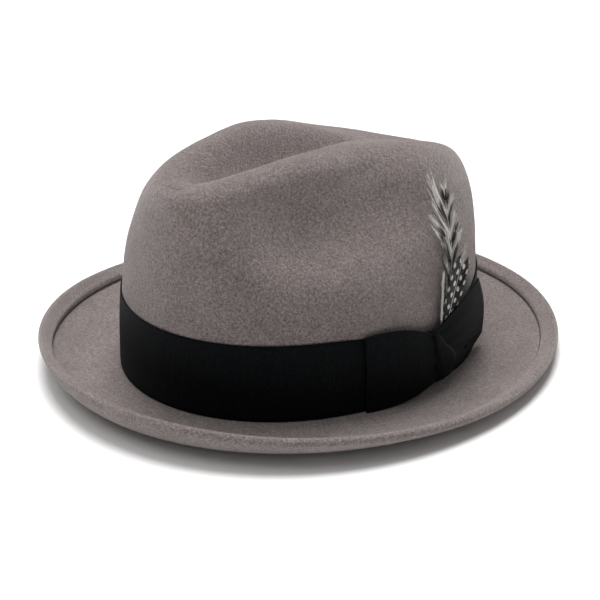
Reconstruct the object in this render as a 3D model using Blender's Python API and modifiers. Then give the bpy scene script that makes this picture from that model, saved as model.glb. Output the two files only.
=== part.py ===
"""A soft felt fedora: pinched teardrop crown, curled brim with a stitched welt,
ribbon band with a flat bow, a trim of three feathers, and a lined, leather-banded inside.

The front of the hat faces -Y and the wearer's left is +X. The hat stands on its brim at z = 0.
Angles around the hat run from the front (0) past the wearer's left (90) to the rear (180).
"""

import math

import bmesh
import bpy
from mathutils import Vector

# ---- driving dimensions, in metres and degrees ----

FELT = 0.0024                # felt thickness
CLEARANCE = 0.0003           # gap between pieces that touch

# Oval of the felt's middle surface at the brim break.
HALF_WIDTH = 0.0868
HALF_LENGTH = 0.1020

# Brim: its width over the curve and the angle that its edge turns up to.
BRIM_WIDTH = 0.0485
BRIM_WIDTH_FRONT = 0.0027    # added at the front, taken off at the rear
BRIM_WIDTH_ENDS = -0.0010    # added at front and rear, taken off at the sides
EDGE_TURN = 55.6
EDGE_TURN_FRONT = 25.8
EDGE_TURN_SIDES = -19.0
EDGE_TURN_RIGHT = -18.0       # the wearer's right side is turned up less
BRIM_DIP = -3.2              # slope where the brim leaves the crown
CURL_POWER = 2.63            # how late the brim turns up
BREAK_RADIUS = 0.0018
BREAK_HEIGHT = 0.0016        # middle surface at the break, above the table
WELT_WIDTH = 0.0078          # felt folded back over the brim and stitched
THREAD_RADIUS = 0.00025
STITCH_PLACE = 1 - (WELT_WIDTH + 0.0012) / BRIM_WIDTH

# Crown: a teardrop ridge around a bowl, joined to the wall by a rounded shoulder.
RIDGE_HEIGHT = 0.1227
RIDGE_HALF_WIDTH = 0.0260
RIDGE_BLUNTNESS = 0.884
RIDGE_FRONT = -0.0854
RIDGE_REAR = 0.0685
RIDGE_TOP_Y = -0.0170
RIDGE_FALL_FRONT = 1.93      # curvature of the ridge line, per metre
RIDGE_FALL_REAR = 3.46
BOWL_DEPTH = 0.0230
BOWL_SHORTENING = 0.25
SHOULDER_FRONT = 2.57        # superellipse exponents: larger is squarer
SHOULDER_SIDE = 2.50
SHOULDER_REAR = 5.22
WALL_FLARE = -0.0125
LEAN = 0.144                 # the left of the rear top stands a little higher
DENT_DEPTH = 0.0196
DENT_ANGLE = 69.8
DENT_SPREAD = 28.9
DENT_HEIGHT = 0.852
DENT_TALL = 0.167
DENT_REARWARD = 1.33         # how much further the dent runs to the rear than to the front
DENT_DOWNWARD = 1.24         # and down than up

# Ribbon band and bow.
RIBBON = 0.0006
BAND_BOTTOM = 0.0018         # above the brim break
BAND_TOP = 0.0438
BOW_ANGLE = 102.0            # where the bow's knot sits
BAND_GATHER = 0.0120         # how far the knot pulls the band's top edge down
BAND_GATHER_SPREAD = 20.0
BAND_OFFSET = FELT / 2 + CLEARANCE + RIBBON / 2
LEAF_OFFSET = BAND_OFFSET + RIBBON + CLEARANCE
POCKET_OFFSET = 0.0052       # the bow's back layer, clear of the feathers behind it
LEAF_GAP = 0.0012            # between a bow leaf's two layers at the knot
LEAF_PUFF = 0.0034           # between them at the middle of the leaf
LEAF_START = 0.6             # how far a leaf starts from the knot's middle, in degrees
LEAF_LOW_KNOT = 0.0066       # a leaf's edges at the knot
LEAF_HIGH_KNOT = 0.0335
FRONT_FOLD_ANGLE = 75.5
FRONT_LEAF_LOW = 0.0020      # its edges at the fold
FRONT_LEAF_HIGH = 0.0442
REAR_FOLD_ANGLE = 131.0
REAR_LEAF_LOW = 0.0040
REAR_LEAF_HIGH = 0.0480
REAR_LEAF_SLANT = 9.0
KNOT_HEIGHT = 0.0200         # of its middle
KNOT_HALF_HEIGHT = 0.0168
KNOT_HALF_WIDTH = 4.6        # in degrees
KNOT_SLANT = -2.2            # in degrees, from its middle to its top
KNOT_CURL = 0.0014           # how far its ends turn in
KNOT_CROWN = 0.0009
KNOT_OFFSET = POCKET_OFFSET + LEAF_GAP + RIBBON + CLEARANCE + 0.0010

# Feathers.
FEATHER_ANGLE = 105.4
QUILL_RADIUS = 0.0005
QUILL_BOTTOM = 0.0250
VANE = 0.0007
BINDING_LOW = 0.0205
BINDING_HIGH = 0.0240
BINDING_HALF_WIDTH = 0.0030
BINDING_HALF_DEPTH = 0.0007
BINDING_OFFSET = 0.0033

# Inside.
LEATHER = 0.0009
SATIN = 0.0004
FILM = 0.0003
LABEL = 0.0003
SWEATBAND_HEIGHT = 0.050
SWEATBAND_STAND_OFF = 0.0013 # more room behind its upper part, for the lining's edge
REED_RADIUS = 0.0007
REED_HEIGHT = 0.0011
STITCH_HEIGHT = 0.0032
SEAM_BOW_HEIGHT = 0.0140
SEAM_BOW_HALF_LENGTH = 0.0110
SEAM_BOW_WAIST = 0.0016      # half its width in the middle
SEAM_BOW_SPREAD = 0.0030     # added to that at its ends
LINING_START = 0.041
LINING_OFFSET = -(FELT / 2 + CLEARANCE + 0.0005 + SATIN / 2)
LINING_SEAM = 0.66           # where the lining's side meets its tip, along the meridian
LINING_SEAM_GAP = 0.022

SEAM_GAP = 0.4               # half of the gap where a strip's ends meet, in degrees

# Resolution.
AROUND = 48
CROWN_ROWS = 12
BRIM_ROWS = 5
FOLD_ROWS = 4
BOWL_ROWS = 4

FELT_COLOUR = (0.235, 0.200, 0.190)
RIBBON_COLOUR = (0.010, 0.012, 0.016)
LEATHER_COLOUR = (0.085, 0.050, 0.032)
SATIN_COLOUR = (0.055, 0.050, 0.055)


# ---- shape of the hat ----

def smooth(x):
    """0 to 1 with level ends."""
    x = min(max(x, 0.0), 1.0)
    return x * x * (3 - 2 * x)


def ridge_z(y):
    fall = RIDGE_FALL_FRONT if y < RIDGE_TOP_Y else RIDGE_FALL_REAR
    return RIDGE_HEIGHT - fall * (y - RIDGE_TOP_Y) ** 2


def lean(x, y, z):
    return z * (1 + LEAN * x / HALF_WIDTH * smooth((y + 0.02) / 0.08))


def crown(angle, turn, bowl=0.0):
    """Middle surface of the crown above the break. turn runs 0 to 1 from the wall's foot
    to the ridge, and bowl runs 0 to 1 from the ridge to the crease's centre line."""
    phi = math.radians(angle)
    c, s = math.cos(phi), math.sin(phi)
    middle, half = (RIDGE_FRONT + RIDGE_REAR) / 2, (RIDGE_REAR - RIDGE_FRONT) / 2
    ridge_x = RIDGE_HALF_WIDTH * math.copysign(abs(s) ** RIDGE_BLUNTNESS, s)
    ridge_y = middle - half * c
    if bowl > 0:
        x = ridge_x * (1 - bowl)
        y = middle + (ridge_y - middle) * (1 - BOWL_SHORTENING * bowl)
        deep = 1 - min(abs(y - middle) / half, 1) ** 2
        z = ridge_z(y) - BOWL_DEPTH * deep * (0.5 - 0.5 * math.cos(math.pi * bowl))
        return Vector((x, y, lean(x, y, z)))
    power = SHOULDER_SIDE
    power += (SHOULDER_FRONT - SHOULDER_SIDE) * max(c, 0) ** 2
    power += (SHOULDER_REAR - SHOULDER_SIDE) * max(-c, 0) ** 2
    t = turn * math.pi / 2
    inward = 1 - max(math.cos(t), 0) ** (2 / power)
    rise = math.sin(t) ** (2 / power)
    foot = (1 + WALL_FLARE * rise) * (1 - inward)
    x = HALF_WIDTH * s * foot + ridge_x * inward
    y = -HALF_LENGTH * c * foot + ridge_y * inward
    z = ridge_z(ridge_y) * rise
    around = (abs((angle + 180) % 360 - 180) - DENT_ANGLE) / DENT_SPREAD
    around /= DENT_REARWARD if around > 0 else 1
    above = (rise - DENT_HEIGHT) / DENT_TALL
    above /= DENT_DOWNWARD if above < 0 else 1
    dent = DENT_DEPTH * math.exp(-around ** 2 - above ** 2)
    dent *= 1 - smooth((turn - 0.75) / 0.25)
    x -= dent * 0.8 * math.copysign(min(abs(s) * 4, 1), s)
    return Vector((x, y, lean(x, y, z - dent * 0.6)))


def turn_at(angle, height):
    """The crown's turn where its middle surface is this high above the break."""
    low, high = 0.0, 0.95
    for _ in range(36):
        middle = (low + high) / 2
        if crown(angle, middle).z < height:
            low = middle
        else:
            high = middle
    return low


def wall(angle, height, offset):
    """A point on the crown's wall, offset outwards from the felt's middle surface."""
    turn = max(turn_at(angle, height), 1e-4)
    here = crown(angle, turn)
    across = crown(angle + 0.5, turn) - crown(angle - 0.5, turn)
    up = crown(angle, turn * 1.04 + 1e-3) - here
    normal = across.cross(up).normalized()
    return here + normal * offset + Vector((0, 0, BREAK_HEIGHT))


def oval(angle):
    """Point and outward direction on the break's oval."""
    phi = math.radians(angle)
    point = Vector((HALF_WIDTH * math.sin(phi), -HALF_LENGTH * math.cos(phi), 0))
    out = Vector((math.sin(phi) / HALF_WIDTH, -math.cos(phi) / HALF_LENGTH, 0)).normalized()
    return point, out


def brim_width(angle):
    phi = math.radians(angle)
    return BRIM_WIDTH + BRIM_WIDTH_FRONT * math.cos(phi) + BRIM_WIDTH_ENDS * math.cos(2 * phi)


def brim_slope(angle, part):
    phi = math.radians(angle)
    edge = EDGE_TURN + EDGE_TURN_FRONT * math.cos(phi) + EDGE_TURN_SIDES * math.sin(phi) ** 2
    edge += EDGE_TURN_RIGHT * max(-math.sin(phi), 0) ** 4
    return math.radians(BRIM_DIP * (1 - part) + edge * part ** CURL_POWER)


def brim_section(angle, steps=60):
    """Distance out, height and slope along the brim's middle surface, from the break."""
    length = brim_width(angle) / steps
    out, high = 0.0, BREAK_HEIGHT
    section = [(out, high, brim_slope(angle, 0))]
    for i in range(steps):
        slope = brim_slope(angle, (i + 0.5) / steps)
        out += length * math.cos(slope)
        high += length * math.sin(slope)
        section.append((out, high, brim_slope(angle, (i + 1) / steps)))
    return section


def brim_point(angle, part, offset=0.0):
    """A point on the brim, offset upwards from its middle surface, pressed level at the table."""
    section = brim_section(angle)
    place = part * (len(section) - 1)
    i = min(int(place), len(section) - 2)
    mix = place - i
    out, high, slope = (a + (b - a) * mix for a, b in zip(section[i], section[i + 1]))
    high = max(high, FELT / 2)
    point, away = oval(angle)
    point = point + away * (out - math.sin(slope) * offset)
    point.z = high + math.cos(slope) * offset
    return point


def fold_point(angle, turn):
    """A point on the middle surface of the welt's fold, from the brim's edge round and back."""
    out, high, slope = brim_section(angle)[-1]
    radius = (FELT + CLEARANCE) / 2
    swing = slope - math.pi / 2 + math.pi * turn
    centre_out = out - math.sin(slope) * radius
    centre_high = high + math.cos(slope) * radius
    point, away = oval(angle)
    point = point + away * (centre_out + radius * math.cos(swing))
    point.z = centre_high + radius * math.sin(swing)
    return point


def reach(angle):
    """How far the brim's outermost surface is from the oval's centre."""
    turns = [i / 40 for i in range(41)]
    radius = max(fold_point(angle, turn).xy.length for turn in turns)
    return radius + FELT / 2


# The hat is placed so that the middle of its outline is the origin.
PLACE = Vector((0, (reach(0) - reach(180)) / 2, 0))


# ---- scene helpers ----

def clear_scene():
    for item in list(bpy.data.objects):
        bpy.data.objects.remove(item, do_unlink=True)


def make_material(name, colour, roughness, alpha=1.0):
    material = bpy.data.materials.new(name)
    material.use_nodes = True
    shader = material.node_tree.nodes["Principled BSDF"]
    shader.inputs["Base Color"].default_value = (*colour, 1)
    shader.inputs["Roughness"].default_value = roughness
    shader.inputs["Alpha"].default_value = alpha
    material.diffuse_color = (*colour, alpha)
    return material


def add_object(name, data, colour, roughness, alpha=1.0):
    part = bpy.data.objects.new(name, data)
    part.location = PLACE
    data.materials.append(make_material(name, colour, roughness, alpha))
    hat.objects.link(part)
    return part


def grid_mesh(name, rows, closed=False):
    """A loft through rows of points. closed joins the ends of every row."""
    loft = bmesh.new()
    verts = [[loft.verts.new(point) for point in row] for row in rows]
    for lower, upper in zip(verts, verts[1:]):
        count = len(lower)
        for i in range(count if closed else count - 1):
            j = (i + 1) % count
            loft.faces.new((lower[i], lower[j], upper[j], upper[i]))
    bmesh.ops.remove_doubles(loft, verts=loft.verts, dist=1e-5)
    bmesh.ops.recalc_face_normals(loft, faces=loft.faces)
    mesh = bpy.data.meshes.new(name)
    loft.to_mesh(mesh)
    loft.free()
    return mesh


def add_sheet(name, mesh, thickness, colour, roughness, alpha=1.0):
    """A surface with its thickness spread evenly to both sides."""
    part = add_object(name, mesh, colour, roughness, alpha)
    mesh.shade_smooth()
    shell = part.modifiers.new("thickness", "SOLIDIFY")
    shell.thickness = thickness
    shell.offset = 0
    shell.use_even_offset = True


def sheet(name, rows, thickness, colour, roughness, closed=False):
    add_sheet(name, grid_mesh(name, rows, closed), thickness, colour, roughness)


def thread(name, points, radius, colour, closed=False):
    """A cord or thread along points."""
    curve = bpy.data.curves.new(name, "CURVE")
    curve.dimensions = "3D"
    curve.bevel_depth = radius
    curve.bevel_resolution = 0
    curve.use_fill_caps = not closed
    spline = curve.splines.new("POLY")
    spline.points.add(len(points) - 1)
    for place, point in zip(spline.points, points):
        place.co = (*point, 1)
    spline.use_cyclic_u = closed
    add_object(name, curve, colour, 0.8)


def angles(count, start=0.0, stop=360.0, ends=False):
    steps = count - 1 if ends else count
    return [start + (stop - start) * i / steps for i in range(count)]


def crown_turns():
    """The turns of the crown's rows, closer together at the foot and at the ridge."""
    shares = [i / CROWN_ROWS for i in range(1, CROWN_ROWS + 1)]
    return [share ** 1.6 / (share ** 1.6 + (1 - share) ** 1.6) for share in shares]


def open_round(seam):
    """The felt's own angles, from one side of a seam round to its other side."""
    step = 360 / AROUND
    inside = [seam + step * i for i in range(1, AROUND)]
    return [seam + SEAM_GAP] + inside + [seam + 360 - SEAM_GAP]


# ---- the felt ----

def make_felt():
    """One piece of felt: welt, brim, wall, shoulder and bowl."""
    round_hat = angles(AROUND)
    rows = []
    welt_parts = [1 - WELT_WIDTH / BRIM_WIDTH * (1 - i / 2) for i in range(2)]
    for part in welt_parts:
        rows.append([brim_point(a, part, FELT + CLEARANCE) for a in round_hat])
    for i in range(FOLD_ROWS):
        rows.append([fold_point(a, 1 - i / (FOLD_ROWS - 1)) for a in round_hat])
    inner = BREAK_RADIUS / BRIM_WIDTH
    parts = [(1 + STITCH_PLACE) / 2]
    parts += [STITCH_PLACE + (inner - STITCH_PLACE) * i / BRIM_ROWS for i in range(BRIM_ROWS + 1)]
    for part in parts:
        rows.append([brim_point(a, part) for a in round_hat])
    for i in (1, 2):
        bend = math.pi / 2 * i / 3
        row = []
        for a in round_hat:
            point, away = oval(a)
            point = point + away * BREAK_RADIUS * (1 - math.sin(bend))
            point.z = BREAK_HEIGHT + BREAK_RADIUS * (1 - math.cos(bend))
            row.append(point)
        rows.append(row)
    lift = Vector((0, 0, BREAK_HEIGHT))
    rows.append([wall(a, BREAK_RADIUS, 0) for a in round_hat])
    for turn in crown_turns():
        rows.append([crown(a, turn) + lift for a in round_hat])
    for i in range(1, BOWL_ROWS + 1):
        rows.append([crown(a, 1, i / BOWL_ROWS) + lift for a in round_hat])
    sheet("felt_body", rows, FELT, FELT_COLOUR, 0.95, closed=True)


def make_welt_stitching():
    rise = FELT / 2 + CLEARANCE + THREAD_RADIUS
    ring = [brim_point(a, STITCH_PLACE, rise) for a in angles(AROUND)]
    thread("welt_stitching", ring, THREAD_RADIUS, (0.05, 0.045, 0.045), closed=True)


# ---- ribbon band and bow ----

def band_top(angle):
    return BAND_TOP - BAND_GATHER * math.exp(-((angle - BOW_ANGLE) / BAND_GATHER_SPREAD) ** 2)


def make_band():
    """The ribbon band, whose ends meet under the bow."""
    turns = open_round(97.5)
    rows = []
    for part in (0, 1 / 3, 2 / 3, 1):
        row = []
        for a in turns:
            top = band_top((a + 180) % 360 - 180)
            row.append(wall(a, BAND_BOTTOM + (top - BAND_BOTTOM) * part, BAND_OFFSET))
        rows.append(row)
    sheet("hat_band", rows, RIBBON, RIBBON_COLOUR, 0.6)


def make_tack(name, angle):
    """One small stitch, from the felt down over the band's top edge."""
    path = ((0.0015, 0.0020), (0.0010, 0.0026), (-0.0004, 0.0027), (-0.0018, 0.0027))
    points = [wall(angle, BAND_TOP + height, offset) for height, offset in path]
    thread(name, points, 0.0002, RIBBON_COLOUR)


def bow_leaf(name, fold_angle, inner_angle, low_end, high_end, slant):
    """A ribbon loop, pinched at the knot: back layer out to the fold, round it and back.
    slant turns the fold's top edge towards the knot, in degrees."""
    path = []
    steps = 8

    def back_layer(part):
        return POCKET_OFFSET + (LEAF_OFFSET - POCKET_OFFSET) * smooth((part - 0.38) / 0.5)

    for i in range(steps + 1):
        path.append((i / steps, back_layer(i / steps)))
    fold = LEAF_PUFF * 0.35
    for i in range(1, 4):
        swing = math.pi * i / 4
        path.append((1 + 0.03 * math.sin(swing), LEAF_OFFSET + fold * (1 - math.cos(swing)) / 2))
    for i in range(steps + 1):
        part = 1 - i / steps
        free = max(part - 0.17, 0) / 0.83
        puff = LEAF_GAP + (LEAF_PUFF - LEAF_GAP) * math.sin(math.pi * free) ** 0.8
        puff += (fold - LEAF_GAP) * part ** 3
        path.append((part, back_layer(part) + puff))
    rows = []
    for part, offset in path:
        spread = smooth(part * 1.25)
        low = LEAF_LOW_KNOT + (low_end - LEAF_LOW_KNOT) * spread
        high = LEAF_HIGH_KNOT + (high_end - LEAF_HIGH_KNOT) * spread
        row = []
        for i in range(6):
            share = i / 5
            angle = inner_angle + (fold_angle - inner_angle) * part
            angle += slant * part * (0.5 - share)
            row.append(wall(angle, low + (high - low) * share, offset))
        rows.append(row)
    sheet(name, rows, RIBBON, RIBBON_COLOUR, 0.6)


def make_bow():
    bow_leaf("bow_front_leaf", FRONT_FOLD_ANGLE, BOW_ANGLE - LEAF_START,
             FRONT_LEAF_LOW, FRONT_LEAF_HIGH, 0.0)
    bow_leaf("bow_rear_leaf", REAR_FOLD_ANGLE, BOW_ANGLE + LEAF_START,
             REAR_LEAF_LOW, REAR_LEAF_HIGH, REAR_LEAF_SLANT)
    rows = []
    for i in range(15):
        up = i / 14 * 2 - 1
        curl = KNOT_CURL * smooth((abs(up) - 0.9) / 0.1)
        row = []
        for j in range(5):
            side = j / 4 * 2 - 1
            angle = BOW_ANGLE + KNOT_HALF_WIDTH * side + KNOT_SLANT * up
            bulge = KNOT_CROWN * (1 - side ** 2)
            row.append(wall(angle, KNOT_HEIGHT + KNOT_HALF_HEIGHT * up, KNOT_OFFSET + bulge - curl))
        rows.append(row)
    sheet("bow_knot", rows, RIBBON, RIBBON_COLOUR, 0.6)


# ---- feathers ----

def make_feather(name, colour, angle, sweep, offset, lift, bottom, top, bare, half_width):
    """A flat vane on its quill. sweep is the angle it gains and lift the distance it leaves
    the wall by, from bottom to top. bare is the part of the length with only quill."""
    rows = []
    count = 12
    for i in range(count + 1):
        part = i / count
        vane = max(part - bare, 0) / (1 - bare)
        half = QUILL_RADIUS * 2 + half_width * math.sin(math.pi * vane) ** 0.7
        across = math.degrees(half / HALF_WIDTH)
        middle = angle + sweep * part
        height = bottom + (top - bottom) * part
        rows.append([wall(middle + across * side, height, offset + lift * part ** 2)
                     for side in (-1, 0, 1)])
    sheet(name, rows, VANE, colour, 0.8)


def make_binding():
    """A short sleeve of thread round the quills."""
    rows = []
    for height in (BINDING_LOW, BINDING_HIGH):
        row = []
        for i in range(12):
            turn = 2 * math.pi * i / 12
            angle = FEATHER_ANGLE + math.degrees(BINDING_HALF_WIDTH * math.cos(turn) / HALF_WIDTH)
            row.append(wall(angle, height, BINDING_OFFSET + BINDING_HALF_DEPTH * math.sin(turn)))
        rows.append(row)
    sheet("quill_binding", rows, 0.0004, (0.02, 0.02, 0.02), 0.8, closed=True)


def make_feathers():
    make_feather("feather_striped", (0.25, 0.24, 0.23), FEATHER_ANGLE, 5.0, 0.0029, 0.0060,
                 QUILL_BOTTOM, 0.1040, 0.38, 0.0080)
    make_feather("feather_spotted", (0.03, 0.03, 0.03), FEATHER_ANGLE + 3.2, 3.6, 0.0040, 0.0028,
                 QUILL_BOTTOM + 0.0012, 0.0670, 0.28, 0.0052)
    make_feather("feather_pale", (0.60, 0.57, 0.54), FEATHER_ANGLE - 2.2, 1.4, 0.0040, 0.0020,
                 QUILL_BOTTOM + 0.0012, 0.0640, 0.30, 0.0012)
    make_binding()


# ---- inside ----

def sweatband_offset(height):
    near = -(FELT / 2 + CLEARANCE + LEATHER / 2)
    return near - SWEATBAND_STAND_OFF * smooth((height - 0.006) / 0.028)


def make_sweatband():
    rows = []
    for height in (0.0010, 0.0100, 0.0200, 0.0340, SWEATBAND_HEIGHT):
        rows.append([wall(a, height, sweatband_offset(height)) for a in open_round(180.0)])
    sheet("sweatband", rows, LEATHER, LEATHER_COLOUR, 0.5)
    reed = []
    for a in angles(60):
        point, away = oval(a)
        point = point - away * (FELT / 2 + CLEARANCE + REED_RADIUS + 0.0001)
        point.z = REED_HEIGHT
        reed.append(point)
    thread("sweatband_reed", reed, REED_RADIUS, LEATHER_COLOUR, closed=True)
    stitch = sweatband_offset(STITCH_HEIGHT) - LEATHER / 2 - CLEARANCE - 0.0002
    ring = [wall(a, STITCH_HEIGHT, stitch) for a in angles(60)]
    thread("sweatband_stitching", ring, 0.0002, (0.20, 0.14, 0.09), closed=True)


def make_sweatband_bow():
    """The small flat bow that covers the sweatband's rear seam."""
    base = sweatband_offset(0.019) - LEATHER / 2 - CLEARANCE - 0.0005
    rows = []
    for i in range(9):
        side = i / 8 * 2 - 1
        half = SEAM_BOW_WAIST + SEAM_BOW_SPREAD * abs(side) ** 0.7
        angle = 180 + math.degrees(SEAM_BOW_HALF_LENGTH * side / HALF_WIDTH)
        rows.append([wall(angle, SEAM_BOW_HEIGHT + half * up, base) for up in (-1, 0, 1)])
    sheet("sweatband_bow", rows, 0.0007, (0.03, 0.025, 0.025), 0.6)


def offset_part(name, rows, offset, thickness, colour, roughness, alpha=1.0):
    """A closed-round sheet parallel to the crown, moved inwards along its own normals."""
    mesh = grid_mesh(name, rows, closed=True)
    normals = [Vector(v.normal) for v in mesh.vertices]
    outwards = 1 if sum(n.dot(v.co.normalized()) for n, v in zip(normals, mesh.vertices)) > 0 else -1
    for vert, normal in zip(mesh.vertices, normals):
        vert.co = vert.co + normal * offset * outwards + Vector((0, 0, BREAK_HEIGHT))
    add_sheet(name, mesh, thickness, colour, roughness, alpha)


def make_lining():
    """A side that is tucked behind the sweatband, and a tip that follows the crown's bowl."""
    side = []
    for share in (0, 0.1, 0.22, 0.40, 0.60, 0.80, 1):
        row = []
        for a in angles(AROUND):
            low = turn_at(a, LINING_START)
            row.append(crown(a, low + (LINING_SEAM - low) * share))
        side.append(row)
    tip_start = LINING_SEAM + LINING_SEAM_GAP
    turns = [tip_start] + [turn for turn in crown_turns() if turn > tip_start + LINING_SEAM_GAP]
    tip = [[crown(a, turn) for a in angles(AROUND)] for turn in turns]
    tip += [[crown(a, 1, i / BOWL_ROWS) for a in angles(AROUND)] for i in range(1, BOWL_ROWS + 1)]
    offset_part("lining_side", side, LINING_OFFSET, SATIN, SATIN_COLOUR, 0.35)
    offset_part("lining_tip", tip, LINING_OFFSET, SATIN, SATIN_COLOUR, 0.35)


def make_tip_shield():
    """The clear sheet under the lining's tip, where the crown's bowl hangs lowest."""
    rows = []
    for i in range(4):
        rows.append([crown(a, 1, 0.45 + 0.55 * i / 3) for a in angles(40)])
    offset = LINING_OFFSET - SATIN / 2 - CLEARANCE - FILM / 2 - 0.0002
    offset_part("tip_shield", rows, offset, FILM, (0.8, 0.8, 0.8), 0.1, alpha=0.35)


def make_labels():
    """Two blank labels on the inside of the sweatband, left of its bow."""
    for name, angle, half, low, high in (
        ("size_label", 198.0, 4.0, 0.0220, 0.0330),
        ("care_label", 214.0, 6.5, 0.0130, 0.0420),
    ):
        rows = []
        for height in (low, (low + high) / 2, high):
            base = sweatband_offset(height) - LEATHER / 2 - CLEARANCE - 0.0003
            rows.append([wall(angle + half * side, height, base) for side in (-1, -0.5, 0, 0.5, 1)])
        sheet(name, rows, LABEL, (0.75, 0.73, 0.70), 0.7)


clear_scene()
hat = bpy.data.collections.new("fedora_hat")
bpy.context.scene.collection.children.link(hat)
make_felt()
make_welt_stitching()
make_band()
make_tack("band_tack_front", 8.0)
make_tack("band_tack_right", 262.0)
make_tack("band_tack_rear", 176.0)
make_bow()
make_feathers()
make_sweatband()
make_sweatband_bow()
make_lining()
make_tip_shield()
make_labels()
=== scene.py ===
import math

import bmesh
import bpy
import numpy as np
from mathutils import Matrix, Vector, noise


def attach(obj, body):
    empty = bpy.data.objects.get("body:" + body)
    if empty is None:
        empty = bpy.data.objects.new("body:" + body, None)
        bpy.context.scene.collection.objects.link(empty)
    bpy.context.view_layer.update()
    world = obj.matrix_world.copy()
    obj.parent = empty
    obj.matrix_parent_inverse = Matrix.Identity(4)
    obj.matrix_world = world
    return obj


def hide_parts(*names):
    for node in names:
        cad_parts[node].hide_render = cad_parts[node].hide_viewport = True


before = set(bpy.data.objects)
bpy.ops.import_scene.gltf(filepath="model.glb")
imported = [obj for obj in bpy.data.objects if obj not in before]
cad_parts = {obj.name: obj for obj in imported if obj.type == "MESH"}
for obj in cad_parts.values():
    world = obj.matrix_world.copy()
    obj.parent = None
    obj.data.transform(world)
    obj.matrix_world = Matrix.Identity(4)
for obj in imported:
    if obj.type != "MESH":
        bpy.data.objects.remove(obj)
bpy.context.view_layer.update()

# The hat's shape, in metres and degrees, as in the CAD apart from what says otherwise.
# Angles run from the front (0) past the wearer's left (90) to the rear (180), and heights
# start at the brim's break.

FELT = 0.0024
CLEARANCE = 0.0003
HALF_WIDTH = 0.0868
HALF_LENGTH = 0.1020
BRIM_WIDTH = 0.0485
BRIM_WIDTH_FRONT = 0.0027
BRIM_WIDTH_ENDS = -0.0010
EDGE_TURN = 55.6
EDGE_TURN_FRONT = 25.8
EDGE_TURN_SIDES = -19.0
EDGE_TURN_RIGHT = -18.0
BRIM_DIP = -3.2
CURL_POWER = 2.63
BRIM_WAVE = 0.0009           # a faint unevenness of the brim, which the CAD leaves out
BREAK_RADIUS = 0.0018
BREAK_HEIGHT = 0.0016
WELT_WIDTH = 0.0078
RIDGE_HEIGHT = 0.1227
RIDGE_HALF_WIDTH = 0.0260
RIDGE_BLUNTNESS = 0.884
RIDGE_FRONT = -0.0854
RIDGE_REAR = 0.0685
RIDGE_TOP_Y = -0.0170
RIDGE_FALL_FRONT = 1.93
RIDGE_FALL_REAR = 3.46
BOWL_DEPTH = 0.0230
BOWL_SHORTENING = 0.25
SHOULDER_FRONT = 2.57
SHOULDER_SIDE = 2.50
SHOULDER_REAR = 5.22
WALL_FLARE = -0.0125
LEAN = 0.144
DENT_DEPTH = 0.0196
DENT_ANGLE = 69.8
DENT_SPREAD = 28.9
DENT_HEIGHT = 0.852
DENT_TALL = 0.167
DENT_REARWARD = 1.33
DENT_DOWNWARD = 1.24
RIBBON = 0.0006
BAND_BOTTOM = 0.0015         # 0.3 mm lower than in the CAD
BAND_TOP = 0.0438
BOW_ANGLE = 102.0
BAND_OFFSET = FELT / 2 + CLEARANCE + RIBBON / 2
LEATHER = 0.0009
SATIN = 0.0004
LINING_START = 0.041
LINING_SEAM = 0.66
LINING_SEAM_GAP = 0.022
LINING_OFFSET = -(FELT / 2 + CLEARANCE + 0.0005 + SATIN / 2)


# ---- shape of the hat, for whole arrays of points ----

def smooth(x):
    x = np.clip(x, 0, 1)
    return x * x * (3 - 2 * x)


def ridge_z(y):
    fall = np.where(y < RIDGE_TOP_Y, RIDGE_FALL_FRONT, RIDGE_FALL_REAR)
    return RIDGE_HEIGHT - fall * (y - RIDGE_TOP_Y) ** 2


def lean(x, y, z):
    return z * (1 + LEAN * x / HALF_WIDTH * smooth((y + 0.02) / 0.08))


def crown(angle, turn, bowl=0.0):
    """Middle surface of the felt above the break: turn runs from the wall's foot to the ridge,
    bowl from the ridge to the crease's centre line."""
    angle, turn, bowl = np.broadcast_arrays(np.asarray(angle, float), turn, bowl)
    phi = np.radians(angle)
    c, s = np.cos(phi), np.sin(phi)
    middle, half = (RIDGE_FRONT + RIDGE_REAR) / 2, (RIDGE_REAR - RIDGE_FRONT) / 2
    ridge_x = RIDGE_HALF_WIDTH * np.sign(s) * np.abs(s) ** RIDGE_BLUNTNESS
    ridge_y = middle - half * c
    bowl_x = ridge_x * (1 - bowl)
    bowl_y = middle + (ridge_y - middle) * (1 - BOWL_SHORTENING * bowl)
    deep = 1 - np.minimum(np.abs(bowl_y - middle) / half, 1) ** 2
    bowl_z = ridge_z(bowl_y) - BOWL_DEPTH * deep * (0.5 - 0.5 * np.cos(np.pi * bowl))
    power = SHOULDER_SIDE + (SHOULDER_FRONT - SHOULDER_SIDE) * np.maximum(c, 0) ** 2
    power = power + (SHOULDER_REAR - SHOULDER_SIDE) * np.maximum(-c, 0) ** 2
    t = turn * np.pi / 2
    inward = 1 - np.maximum(np.cos(t), 0) ** (2 / power)
    rise = np.sin(t) ** (2 / power)
    foot = (1 + WALL_FLARE * rise) * (1 - inward)
    x = HALF_WIDTH * s * foot + ridge_x * inward
    y = -HALF_LENGTH * c * foot + ridge_y * inward
    z = ridge_z(ridge_y) * rise
    around = (np.abs((angle + 180) % 360 - 180) - DENT_ANGLE) / DENT_SPREAD
    around = np.where(around > 0, around / DENT_REARWARD, around)
    above = (rise - DENT_HEIGHT) / DENT_TALL
    above = np.where(above < 0, above / DENT_DOWNWARD, above)
    dent = DENT_DEPTH * np.exp(-around ** 2 - above ** 2)
    dent = dent * (1 - smooth((turn - 0.75) / 0.25))
    x = x - dent * 0.8 * np.sign(s) * np.minimum(np.abs(s) * 4, 1)
    wall_z = lean(x, y, z - dent * 0.6)
    inside = bowl > 0
    return np.stack([np.where(inside, bowl_x, x), np.where(inside, bowl_y, y),
                     np.where(inside, lean(bowl_x, bowl_y, bowl_z), wall_z)], -1)


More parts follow.
